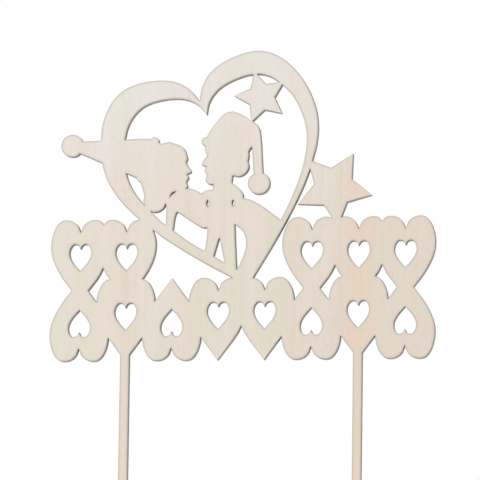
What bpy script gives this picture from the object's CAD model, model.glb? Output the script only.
import math

import bmesh
import bpy
from mathutils import Color, Matrix, Vector
from mathutils.kdtree import KDTree


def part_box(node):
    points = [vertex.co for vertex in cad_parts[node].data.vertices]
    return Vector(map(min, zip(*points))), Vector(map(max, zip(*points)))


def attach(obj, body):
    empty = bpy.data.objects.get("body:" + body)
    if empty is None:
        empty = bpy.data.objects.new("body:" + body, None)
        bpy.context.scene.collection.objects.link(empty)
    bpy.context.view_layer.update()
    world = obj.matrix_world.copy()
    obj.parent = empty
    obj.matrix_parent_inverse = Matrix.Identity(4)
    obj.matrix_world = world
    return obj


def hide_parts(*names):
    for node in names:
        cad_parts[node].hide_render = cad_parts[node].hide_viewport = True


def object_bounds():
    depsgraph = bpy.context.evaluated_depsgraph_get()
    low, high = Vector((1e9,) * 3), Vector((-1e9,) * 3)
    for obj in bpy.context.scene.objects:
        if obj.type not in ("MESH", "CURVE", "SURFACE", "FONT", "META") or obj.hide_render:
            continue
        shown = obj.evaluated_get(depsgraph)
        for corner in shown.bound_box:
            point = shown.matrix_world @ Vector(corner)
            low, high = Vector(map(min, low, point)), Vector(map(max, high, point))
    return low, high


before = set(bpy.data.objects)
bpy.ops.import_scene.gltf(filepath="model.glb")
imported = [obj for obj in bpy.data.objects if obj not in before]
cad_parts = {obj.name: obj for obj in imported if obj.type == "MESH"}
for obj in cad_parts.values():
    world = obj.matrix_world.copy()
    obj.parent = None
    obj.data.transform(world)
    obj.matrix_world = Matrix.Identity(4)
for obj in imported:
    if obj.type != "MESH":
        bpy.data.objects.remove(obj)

cad_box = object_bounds()

# The laser's path
# One beam cuts all five layers of the pressed sheet in a single pass, so they share these closed outlines.
# They are read off the front veneer's solid, whose facets stay this close to the true curve; where a facet
# would have to leave it by more, the beam turned on the spot and the corner stays sharp.
mm = 0.001
facet_sag = 0.235 * mm
facet_turn = math.radians(33)
beam_width = 0.1 * mm
touching = 0.001 * mm
path_steps = 4
most_room = 1.2 * mm


def front_rim(solid):
    """Each point of the front face's rim with the one that follows it, the wood being on the left."""
    sheet = bmesh.new()
    sheet.from_mesh(solid.data)
    bmesh.ops.remove_doubles(sheet, verts=sheet.verts, dist=touching)
    sheet.normal_update()
    sheet.verts.index_update()
    front = {face for face in sheet.faces if round(face.normal.y) == -1}
    following = {}
    for face in front:
        for corner in face.loops:
            if corner.link_loop_radial_next.face not in front:
                place = Vector((corner.vert.co.x, corner.vert.co.z))
                following[corner.vert.index] = (place, corner.link_loop_next.vert.index)
    sheet.free()
    return {start: following[start] for start in sorted(following)}


def closed_loops(following):
    """The corners of every outline in order, without those within the beam's width of the one before."""
    loops = []
    while following:
        at = next(iter(following))
        loop = []
        while at in following:
            place, at = following.pop(at)
            loop.append(place)
        loops.append([place for i, place in enumerate(loop) if (place - loop[i - 1]).length > beam_width])
    return loops


def left_turn(before, here, after):
    """How far the path turns to the left at a corner."""
    return -(here - before).angle_signed(after - here)


def knot_handles(before, here, after):
    """Handles of a smooth curve through three facet ends, straight along both facets at a sharp corner.

    A curve that leaves its facet by the sag leans away from it by four sags over its length at either end.
    """
    into = here - before
    out = after - here
    turn = left_turn(before, here, after)
    most_in = min(facet_turn, 4 * facet_sag / into.length)
    most_out = min(facet_turn, 4 * facet_sag / out.length)
    lean_in = lean_out = 0
    if abs(turn) < min(facet_turn, most_in + most_out):
        lean_in = abs(turn) * into.length / (into.length + out.length)
        lean_in = min(max(lean_in, abs(turn) - most_out), most_in)
        lean_in = math.copysign(lean_in, turn)
        lean_out = turn - lean_in
    handle_in = into / (3 * math.cos(lean_in / 2) ** 2)
    handle_out = out / (3 * math.cos(lean_out / 2) ** 2)
    handle_in.rotate(Matrix.Rotation(lean_in, 2))
    handle_out.rotate(Matrix.Rotation(-lean_out, 2))
    return here - handle_in, here + handle_out


def all_cuts(loops):
    """Every corner of the outlines and the middle of every facet, ready to be searched."""
    places = [place for loop in loops for i, corner in enumerate(loop)
              for place in (corner, corner.lerp(loop[i - 1], 0.5))]
    cuts = KDTree(len(places))
    for i, place in enumerate(places):
        cuts.insert(place.to_3d(), i)
    cuts.balance()
    return cuts


def room_inside(before, here, after, cuts):
    """Radius of the largest disc of wood that touches the cut here, and crosses no other place of it."""
    if left_turn(before, here, after) > facet_turn:
        return 0
    inward = ((here - before).normalized() + (after - here).normalized()).orthogonal().normalized()
    room = most_room
    for place, _, apart in cuts.find_range(here.to_3d(), 2 * most_room):
        ahead = (place.to_2d() - here).dot(inward)
        if ahead > touching:
            room = min(room, apart ** 2 / (2 * ahead))
    return room


def laser_path(loops):
    """All outlines as one flat curve, with the topper's height along its Y axis, and the room as radius."""
    cuts = all_cuts(loops)
    path = bpy.data.curves.new("laser_path", "CURVE")
    path.dimensions = "3D"
    for loop in loops:
        spline = path.splines.new("BEZIER")
        spline.use_cyclic_u = True
        spline.resolution_u = path_steps
        spline.bezier_points.add(len(loop) - 1)
        for i, knot in enumerate(spline.bezier_points):
            spot = (loop[i - 1], loop[i], loop[(i + 1) % len(loop)])
            left, right = knot_handles(*spot)
            knot.handle_left_type = "FREE"
            knot.handle_right_type = "FREE"
            knot.co = loop[i].to_3d()
            knot.handle_left = left.to_3d()
            knot.handle_right = right.to_3d()
            knot.radius = room_inside(*spot, cuts)
    return path


outline = laser_path(closed_loops(front_rim(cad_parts["front_veneer"])))

# Core veneer
# The thick middle layer of the sheet: peeled poplar with its grain lying from side to side. Only its cut edge
# shows, browned by the beam and ribbed where the beam pulsed, darker where it cuts across the fibres.
crease = math.radians(30)
smoke_spread = 5.5
room_used = 0.8
usual_noise = (0.3, 0.7)


def fill(tree, socket, value):
    """Gives a socket a value, or the output of another node."""
    if isinstance(value, bpy.types.NodeSocket):
        tree.links.new(value, socket)
    else:
        socket.default_value = value


def node(tree, kind, sockets, **settings):
    """A new node, with its settings made and its sockets filled."""
    made = tree.nodes.new(kind)
    for setting, value in settings.items():
        setattr(made, setting, value)
    for socket, value in sockets.items():
        fill(tree, made.inputs[socket], value)
    return made


def calculated(tree, operation, *values):
    """The result of a sum with numbers or the outputs of other nodes."""
    return node(tree, "ShaderNodeMath", dict(enumerate(values)), operation=operation).outputs[0]


def stored(tree, shape, name, value, **settings):
    """A shape that carries a value under a name."""
    sockets = {"Geometry": shape, "Name": name, "Value": value}
    return node(tree, "GeometryNodeStoreNamedAttribute", sockets, **settings).outputs[0]


def joined(tree, *shapes):
    """Several shapes as one."""
    together = node(tree, "GeometryNodeJoinGeometry", {})
    for shape in shapes:
        tree.links.new(shape, together.inputs[0])
    return together.outputs[0]


def by_point(tree, values):
    """A number for each point of a line, in the order of the points."""
    index = node(tree, "GeometryNodeInputIndex", {})
    chosen = node(tree, "GeometryNodeIndexSwitch", {"Index": index.outputs[0]}, data_type="FLOAT")
    for _ in values[2:]:
        chosen.index_switch_items.new()
    for socket, value in zip(chosen.inputs[1:], values):
        fill(tree, socket, value)
    return chosen.outputs[0]


def section_line(tree, points):
    """A line through points, each with its way into the wood, its depth behind the front, and its scorch."""
    inward, depth, scorch = (by_point(tree, values) for values in zip(*points))
    outward = calculated(tree, "MULTIPLY", inward, -1)
    place = node(tree, "ShaderNodeCombineXYZ", {"X": outward, "Y": depth})
    line = node(tree, "GeometryNodeMeshLine", {"Count": len(points)})
    line = node(tree, "GeometryNodeSetPosition", {"Geometry": line.outputs[0], "Position": place.outputs[0]})
    line = stored(tree, line.outputs[0], "scorch", scorch)
    return node(tree, "GeometryNodeMeshToCurve", {0: line}).outputs[0]


def swept(tree, path, section, width=1.0):
    """A surface along a path, whose faces keep their section's scorch where other faces join them."""
    surface = node(tree, "GeometryNodeCurveToMesh", {"Curve": path, "Profile Curve": section, "Scale": width})
    scorch = node(tree, "GeometryNodeInputNamedAttribute", {"Name": "scorch"})
    return stored(tree, surface.outputs[0], "scorch", scorch.outputs[0], domain="CORNER")


def cut_edges(tree, path, given):
    """The cut edges from front to back: eased rim, wall, eased rim."""
    back_wall = calculated(tree, "SUBTRACT", given["Thickness"], given["Back rim"])
    section = section_line(tree, [
        (given["Front rim"], 0, 0),
        (0, given["Front rim"], 1),
        (0, back_wall, 1),
        (given["Back rim"], given["Thickness"], 0),
    ])
    return stored(tree, swept(tree, path, section), "cut_edge", True, data_type="BOOLEAN", domain="FACE")


def inset(tree, path, distance):
    """A path moved into the wood."""
    outward = node(tree, "GeometryNodeInputNormal", {})
    inward = calculated(tree, "MULTIPLY", distance, -1)
    offset = node(tree, "ShaderNodeVectorMath", {0: outward.outputs[0], "Scale": inward}, operation="SCALE")
    return node(tree, "GeometryNodeSetPosition", {"Geometry": path, "Offset": offset.outputs[0]}).outputs[0]


def smoked_face(tree, path, rim):
    """The flat face inside a rim, with a strip along the rim where the smoke fades to clean wood.

    The strip is some rims wide, and narrower where the wood has too little room for it.
    """
    room = node(tree, "GeometryNodeInputRadius", {})
    spare = calculated(tree, "SUBTRACT", calculated(tree, "MULTIPLY", room.outputs[0], room_used), rim)
    width = calculated(tree, "MINIMUM", calculated(tree, "MULTIPLY", rim, smoke_spread), spare)
    width = calculated(tree, "MAXIMUM", width, 0)
    rim_path = inset(tree, path, rim)
    strip = swept(tree, rim_path, section_line(tree, [(1, 0, 0), (0, 0, 1)]), width)
    clean = node(tree, "GeometryNodeFillCurve", {"Curve": inset(tree, rim_path, width)}, mode="TRIANGLES")
    return joined(tree, strip, clean.outputs[0])


def turned_to_back(tree, face, thickness):
    """A face moved from the front of a layer to its back."""
    behind = node(tree, "ShaderNodeCombineXYZ", {"Z": calculated(tree, "MULTIPLY", thickness, -1)})
    moved = node(tree, "GeometryNodeSetPosition", {"Geometry": face, "Offset": behind.outputs[0]})
    return node(tree, "GeometryNodeFlipFaces", {"Mesh": moved.outputs[0]}).outputs[0]


def welded(tree, shape):
    """One closed skin, with sharp edges along its creases."""
    skin = node(tree, "GeometryNodeMergeByDistance", {"Geometry": shape, "Distance": touching})
    angle = node(tree, "GeometryNodeInputMeshEdgeAngle", {})
    sharp = node(tree, "FunctionNodeCompare", {0: angle.outputs[0], 1: crease}, operation="GREATER_THAN")
    sockets = {"Geometry": skin.outputs[0], "Selection": sharp.outputs[0], "Shade Smooth": False}
    return node(tree, "GeometryNodeSetShadeSmooth", sockets, domain="EDGE").outputs[0]


def stood_up(tree, shape, front):
    """A layer turned from lying to standing, with its front face at this depth."""
    place = node(tree, "ShaderNodeCombineXYZ", {"Y": front})
    upright = (math.pi / 2, 0, 0)
    sockets = {"Geometry": shape, "Translation": place.outputs[0], "Rotation": upright}
    return node(tree, "GeometryNodeTransform", sockets).outputs[0]


def finished(tree, shape, face, edge):
    """A layer with one finish on its faces and another on its cut edges."""
    cut = node(tree, "GeometryNodeInputNamedAttribute", {"Name": "cut_edge"}, data_type="BOOLEAN")
    layer = node(tree, "GeometryNodeRealizeInstances", {"Geometry": shape})
    layer = node(tree, "GeometryNodeSetMaterial", {"Geometry": layer.outputs[0], "Material": face})
    sockets = {"Geometry": layer.outputs[0], "Selection": cut.outputs[0], "Material": edge}
    return node(tree, "GeometryNodeSetMaterial", sockets).outputs[0]


def layer_cutter():
    """Sweeps the section of a cut edge along the laser's path, and closes both faces between the edges."""
    tree = bpy.data.node_groups.new("laser_cut_layer", "GeometryNodeTree")
    tree.interface.new_socket("Path", in_out="INPUT", socket_type="NodeSocketGeometry")
    for size in ("Front", "Thickness", "Front rim", "Back rim"):
        tree.interface.new_socket(size, in_out="INPUT", socket_type="NodeSocketFloat")
    for finish in ("Face", "Edge"):
        tree.interface.new_socket(finish, in_out="INPUT", socket_type="NodeSocketMaterial")
    tree.interface.new_socket("Layer", in_out="OUTPUT", socket_type="NodeSocketGeometry")
    given = node(tree, "NodeGroupInput", {}).outputs

    path = node(tree, "GeometryNodeResampleCurve", {"Curve": given["Path"]}, mode="EVALUATED")
    path = node(tree, "GeometryNodeSetCurveNormal", {"Curve": path.outputs[0]}, mode="Z_UP").outputs[0]
    edges = cut_edges(tree, path, given)
    front = smoked_face(tree, path, given["Front rim"])
    back = turned_to_back(tree, smoked_face(tree, path, given["Back rim"]), given["Thickness"])
    layer = stood_up(tree, welded(tree, joined(tree, edges, front, back)), given["Front"])
    node(tree, "NodeGroupOutput", {"Layer": finished(tree, layer, given["Face"], given["Edge"])})
    return tree


def pressed_layer(name, solid, slot, **inputs):
    """A layer of the sheet, cut along the laser's path in the place and thickness of its solid."""
    low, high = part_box(solid)
    inputs = {"Front": low.y, "Thickness": high.y - low.y, **inputs}
    blank = bpy.data.objects.new("blank", outline)
    bpy.context.scene.collection.objects.link(blank)
    cut = blank.modifiers.new("laser_cut", "NODES")
    cut.node_group = cutter
    for socket in cutter.interface.items_tree:
        if socket.name in inputs:
            cut[socket.identifier] = inputs[socket.name]
    evaluated = blank.evaluated_get(bpy.context.evaluated_depsgraph_get())
    mesh = bpy.data.meshes.new_from_object(evaluated)
    bpy.data.objects.remove(blank)
    mesh.materials.pop(index=0)  # the empty slot that the blank starts with
    layer = bpy.data.objects.new(name, mesh)
    bpy.context.scene.collection.objects.link(layer)
    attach(layer, "root")
    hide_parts(solid)


def tint(red, green, blue):
    """A colour as a screen shows it, made ready for a shader."""
    return (*Color((red / 255, green / 255, blue / 255)).from_srgb_to_scene_linear(), 1)


def new_material(name):
    """A new material with its node tree and its shader."""
    material = bpy.data.materials.new(name)
    material.use_nodes = True
    return material, material.node_tree, material.node_tree.nodes["Principled BSDF"]


def own_place(tree):
    """The place on the piece, in the topper's own frame."""
    return node(tree, "ShaderNodeTexCoord", {}).outputs["Object"]


def scorched(tree):
    """How far the beam has browned a face towards its rim, or an edge from its rim to its wall."""
    return node(tree, "ShaderNodeAttribute", {}, attribute_name="scorch").outputs["Fac"]


def flecks(tree, size, start, detail=2.0):
    """Soft noise whose flecks have this length along each axis, from 0 to 1."""
    sockets = {"Vector": own_place(tree), "Location": start, "Scale": [1 / length for length in size]}
    sized = node(tree, "ShaderNodeMapping", sockets)
    noise = node(tree, "ShaderNodeTexNoise", {"Vector": sized.outputs[0], "Scale": 1, "Detail": detail})
    return noise.outputs["Fac"]


def spread(tree, noise, low, high):
    """A noise, stretched between two values from the range that most of it lies in."""
    dark, light = usual_noise
    sockets = {"Value": noise, "From Min": dark, "From Max": light, "To Min": low, "To Max": high}
    return node(tree, "ShaderNodeMapRange", sockets).outputs[0]


def ramped(tree, value, start, end, low, high):
    """A number that goes smoothly from low to high while a value goes from its start to its end."""
    sockets = {"Value": value, "From Min": start, "From Max": end, "To Min": low, "To Max": high}
    return node(tree, "ShaderNodeMapRange", sockets, interpolation_type="SMOOTHSTEP").outputs[0]


def blended(tree, share, first, second):
    """One number with a share of another."""
    return node(tree, "ShaderNodeMix", {0: share, 2: first, 3: second}).outputs[0]


def mixed(tree, share, first, second):
    """One colour with a share of another."""
    return node(tree, "ShaderNodeMix", {0: share, 6: first, 7: second}, data_type="RGBA").outputs[2]


def brightened(tree, colour, value):
    """A colour made lighter or darker by a factor."""
    return node(tree, "ShaderNodeHueSaturation", {"Color": colour, "Value": value}).outputs[0]


def roughened(tree, shader, height, depth, strength):
    """Gives a shader the bumps of a height."""
    bump = node(tree, "ShaderNodeBump", {"Height": height, "Strength": strength, "Distance": depth})
    tree.links.new(bump.outputs[0], shader.inputs["Normal"])


rim_brown = tint(168, 160, 149)
long_grain_brown = tint(154, 146, 136)
end_grain_brown = tint(130, 122, 113)
smoke_cloud = (9 * mm, 3 * mm, 9 * mm)
smoke_light = (0.88, 1.12)
pulse_rib = (0.22 * mm, 6 * mm, 0.22 * mm)
pulse_light = (0.86, 1.14)
pulse_depth = 0.04 * mm
pulse_strength = 0.4
edge_roughness = 0.8


def browned_edge(name, grain):
    """A laser-cut edge, ribbed from front to back by the beam's pulses."""
    material, tree, shader = new_material(name)
    facing = node(tree, "ShaderNodeSeparateXYZ", {0: node(tree, "ShaderNodeTexCoord", {}).outputs["Normal"]})
    across = calculated(tree, "ABSOLUTE", facing.outputs[grain])
    wall = mixed(tree, across, long_grain_brown, end_grain_brown)
    colour = mixed(tree, scorched(tree), rim_brown, wall)
    clouds = spread(tree, flecks(tree, smoke_cloud, start=(3, 1, 5)), *smoke_light)
    ribs = flecks(tree, pulse_rib, start=(1, 4, 2))
    colour = brightened(tree, brightened(tree, colour, clouds), spread(tree, ribs, *pulse_light))
    tree.links.new(colour, shader.inputs["Base Color"])
    roughened(tree, shader, ribs, pulse_depth, pulse_strength)
    shader.inputs["Roughness"].default_value = edge_roughness
    return material


# Tints of the wood from its greyest to its warmest, and the stains and pores in it
poplar_tints = {
    0.0: tint(206, 203, 199),
    0.33: tint(203, 196, 185),
    0.6: tint(201, 193, 179),
    0.85: tint(201, 189, 174),
    1.0: tint(206, 183, 160),
}
olive = tint(197, 194, 176)
blush = tint(208, 190, 183)
pore_brown = tint(150, 130, 108)
smoke_grey = tint(178, 172, 161)

# Marks of the grain, each with its width across the fibres and its length along them, and what it changes
growth_band = (13 * mm, 170 * mm)
growth_warmth = (-0.24, 0.24)
stain_patch = (9 * mm, 45 * mm)
stain_share = (-0.1, 0.45)
plain_patch = (24 * mm, 60 * mm)
fine_streak = (1.6 * mm, 90 * mm)
streak_light = (0.955, 1.025)
fibre = (0.25 * mm, 9 * mm)
fibre_light = (0.98, 1.02)
fibre_roughness = (0.56, 0.68)
fibre_depth = 0.03 * mm
fibre_strength = 0.25
pore = (0.13 * mm, 2.4 * mm)
pore_noise = (0.3, 0.2)
pore_share = 0.2

# Heights between which the wood warms towards its foot, and the streak of heartwood below the outer star
grey_top = 120 * mm
band_top = 42 * mm
band_warmth = 0.52
stake_warmth = 0.26
streak_aside = 44 * mm
streak_reach = 12 * mm
streak_wander = 3 * mm
wander_size = (60 * mm, 60 * mm, 35 * mm)
streak_top = 92 * mm
streak_full = 66 * mm
beside_streak = 25 * mm
beside_share = 0.75
beside_warmth = 0.9
streak_share = 0.85
streak_warmth = 1.0


def warmed(tree, place):
    """How warm the wood's tint is by its height: grey at the top, warmer through the ring and the stakes."""
    ring = ramped(tree, place["Z"], grey_top, band_top, 0.0, band_warmth)
    stakes = ramped(tree, place["Z"], band_top, -band_top, 0.0, stake_warmth)
    return calculated(tree, "ADD", ring, stakes)


def with_heartwood(tree, place, warmth, start):
    """A warmth with a streak of heartwood in it, and a browner zone on the side of the streak."""
    wander = spread(tree, flecks(tree, wander_size, start), -streak_wander, streak_wander)
    aside = calculated(tree, "ADD", place["X"], wander)
    apart = calculated(tree, "ABSOLUTE", calculated(tree, "SUBTRACT", aside, streak_aside))
    below = ramped(tree, place["Z"], streak_top, streak_full, 0.0, 1.0)
    beside = ramped(tree, aside, beside_streak, streak_aside, 0.0, beside_share)
    within = ramped(tree, apart, streak_reach, 0.0, 0.0, streak_share)
    warmth = blended(tree, calculated(tree, "MULTIPLY", below, beside), warmth, beside_warmth)
    return blended(tree, calculated(tree, "MULTIPLY", below, within), warmth, streak_warmth)


def wood_tint(tree, warmth):
    """The colour of the wood at a warmth, from its greyest tint to its warmest."""
    ramp = node(tree, "ShaderNodeValToRGB", {"Fac": warmth})
    stops = ramp.color_ramp.elements
    stops.remove(stops[1])
    stops[0].color = poplar_tints[0.0]
    for position in sorted(poplar_tints)[1:]:
        stops.new(position).color = poplar_tints[position]
    return ramp.outputs[0]


def poplar(name, grain, start, heartwood=False):
    """Sanded poplar: bands that warm towards the foot, stains, thin streaks, fibres and pores."""
    def marks(size, detail=2.0):
        across, along = size
        return flecks(tree, [along if axis == grain else across for axis in "XYZ"], start, detail)

    material, tree, shader = new_material(name)
    place = node(tree, "ShaderNodeSeparateXYZ", {0: own_place(tree)}).outputs
    bands = spread(tree, marks(growth_band), *growth_warmth)
    warmth = calculated(tree, "ADD", warmed(tree, place), bands)
    if heartwood:
        warmth = with_heartwood(tree, place, warmth, start)
    stains = marks(stain_patch)
    colour = mixed(tree, spread(tree, stains, *stain_share), wood_tint(tree, warmth), olive)
    colour = mixed(tree, spread(tree, stains, *reversed(stain_share)), colour, blush)
    streaks = spread(tree, marks(fine_streak), *streak_light)
    streaks = blended(tree, spread(tree, marks(plain_patch), 0.0, 1.0), 1.0, streaks)
    fibres = marks(fibre)
    colour = brightened(tree, brightened(tree, colour, streaks), spread(tree, fibres, *fibre_light))
    pores = ramped(tree, marks(pore, detail=0.0), *pore_noise, 0.0, pore_share)
    colour = mixed(tree, scorched(tree), mixed(tree, pores, colour, pore_brown), smoke_grey)
    tree.links.new(colour, shader.inputs["Base Color"])
    tree.links.new(spread(tree, fibres, *fibre_roughness), shader.inputs["Roughness"])
    roughened(tree, shader, fibres, fibre_depth, fibre_strength)
    return material


cutter = layer_cutter()
pressed_layer("core_ply", "core_veneer", "poplar_core", **{
    "Face": poplar("core_poplar", "X", start=(1, 2, 3)),
    "Edge": browned_edge("core_cut_edge", "X"),
})

# Glue lines
# Two thin films of dark resin, squeezed out between the veneers under the press. The beam chars them to a
# fine dark line along the cut edge.
resin_brown = tint(126, 92, 62)
resin_char = tint(93, 72, 54)
resin_cloud = (4 * mm, 4 * mm, 4 * mm)
resin_light = (0.8, 1.2)
resin_roughness = (0.35, 0.5)


def cured_resin(name):
    """Dark resin in soft clouds, darker still where the beam has charred it."""
    material, tree, shader = new_material(name)
    clouds = flecks(tree, resin_cloud, start=(1, 2, 3))
    film = mixed(tree, scorched(tree), resin_brown, resin_char)
    colour = brightened(tree, film, spread(tree, clouds, *resin_light))
    tree.links.new(colour, shader.inputs["Base Color"])
    tree.links.new(spread(tree, clouds, *resin_roughness), shader.inputs["Roughness"])
    return material


resin = cured_resin("cured_resin")
pressed_layer("front_resin_film", "front_glue_line", "resin_glue", Face=resin, Edge=resin)
pressed_layer("back_resin_film", "back_glue_line", "resin_glue", Face=resin, Edge=resin)

# Face veneers
# The two thin outer layers, pale poplar with upright grain, planed and sanded. Their outer rims are eased a
# little by the beam, and its smoke leaves a grey line on the face along every cut.
eased_rim = 0.14 * mm

veneer_edge = browned_edge("veneer_cut_edge", "Z")
pressed_layer("front_face_veneer", "front_veneer", "poplar_veneer", **{
    "Front rim": eased_rim,
    "Face": poplar("front_poplar", "Z", start=(7, 2, 4), heartwood=True),
    "Edge": veneer_edge,
})
pressed_layer("back_face_veneer", "back_veneer", "poplar_veneer", **{
    "Back rim": eased_rim,
    "Face": poplar("back_poplar", "Z", start=(3, 8, 5)),
    "Edge": veneer_edge,
})

# Floor
# A plain pale sheet of card at the height of the stakes' points, ending a little in front of them.
floor_side = 1.0
floor_front = -0.2
floor_back = 1.2
floor_level = cad_box[0].z
card_white = tint(236, 236, 236)
card_roughness = 0.9
floor_corners = [
    (-floor_side, floor_front, floor_level),
    (floor_side, floor_front, floor_level),
    (floor_side, floor_back, floor_level),
    (-floor_side, floor_back, floor_level),
]
floor = bpy.data.objects.new("floor", bpy.data.meshes.new("floor"))
floor.data.from_pydata(floor_corners, [], [(0, 1, 2, 3)])
card, _, card_shader = new_material("white_card")
card_shader.inputs["Base Color"].default_value = card_white
card_shader.inputs["Roughness"].default_value = card_roughness
floor.data.materials.append(card)
bpy.context.scene.collection.objects.link(floor)

# Light
# A white studio all round, one large soft light from the upper left in front, and its twin behind.
middle = Vector((-1.1 * mm, 0, 46.8 * mm))
softbox_size = 0.7
softbox_power = 9.4
softbox_left = -0.7
softbox_above = 0.9
softbox_away = 1.1
studio_white = (1, 1, 1, 1)
studio_strength = 1.0

studio = bpy.data.worlds.new("white_studio")
studio.use_nodes = True
surroundings = studio.node_tree.nodes["Background"]
surroundings.inputs["Color"].default_value = studio_white
surroundings.inputs["Strength"].default_value = studio_strength
bpy.context.scene.world = studio
bpy.context.scene.view_settings.view_transform = "Standard"

for name, depth in (("front_softbox", -softbox_away), ("back_softbox", softbox_away)):
    softbox = bpy.data.objects.new(name, bpy.data.lights.new(name, "AREA"))
    softbox.data.shape = "DISK"
    softbox.data.size = softbox_size
    softbox.data.energy = softbox_power
    softbox.location = (softbox_left, depth, softbox_above)
    softbox.rotation_euler = (middle - softbox.location).to_track_quat("-Z", "Y").to_euler()
    bpy.context.scene.collection.objects.link(softbox)

# Camera
# A long lens from a little to the right and below, so that the right and lower edges of every cut show.
from_right = math.radians(10)
from_below = math.radians(9)
distance = 2.0
view_width = 185 * mm
roll = math.radians(0.8)
camera = bpy.data.objects.new("camera", bpy.data.cameras.new("camera"))
camera.data.lens = camera.data.sensor_width * distance / view_width
back = Vector((math.sin(from_right) * math.cos(from_below), -math.cos(from_right) * math.cos(from_below),
               -math.sin(from_below)))
aim = (-back).to_track_quat("-Z", "Y").to_matrix() @ Matrix.Rotation(roll, 3, "Z")
camera.matrix_world = Matrix.LocRotScale(middle + distance * back, aim, None)
bpy.context.scene.collection.objects.link(camera)
bpy.context.scene.camera = camera
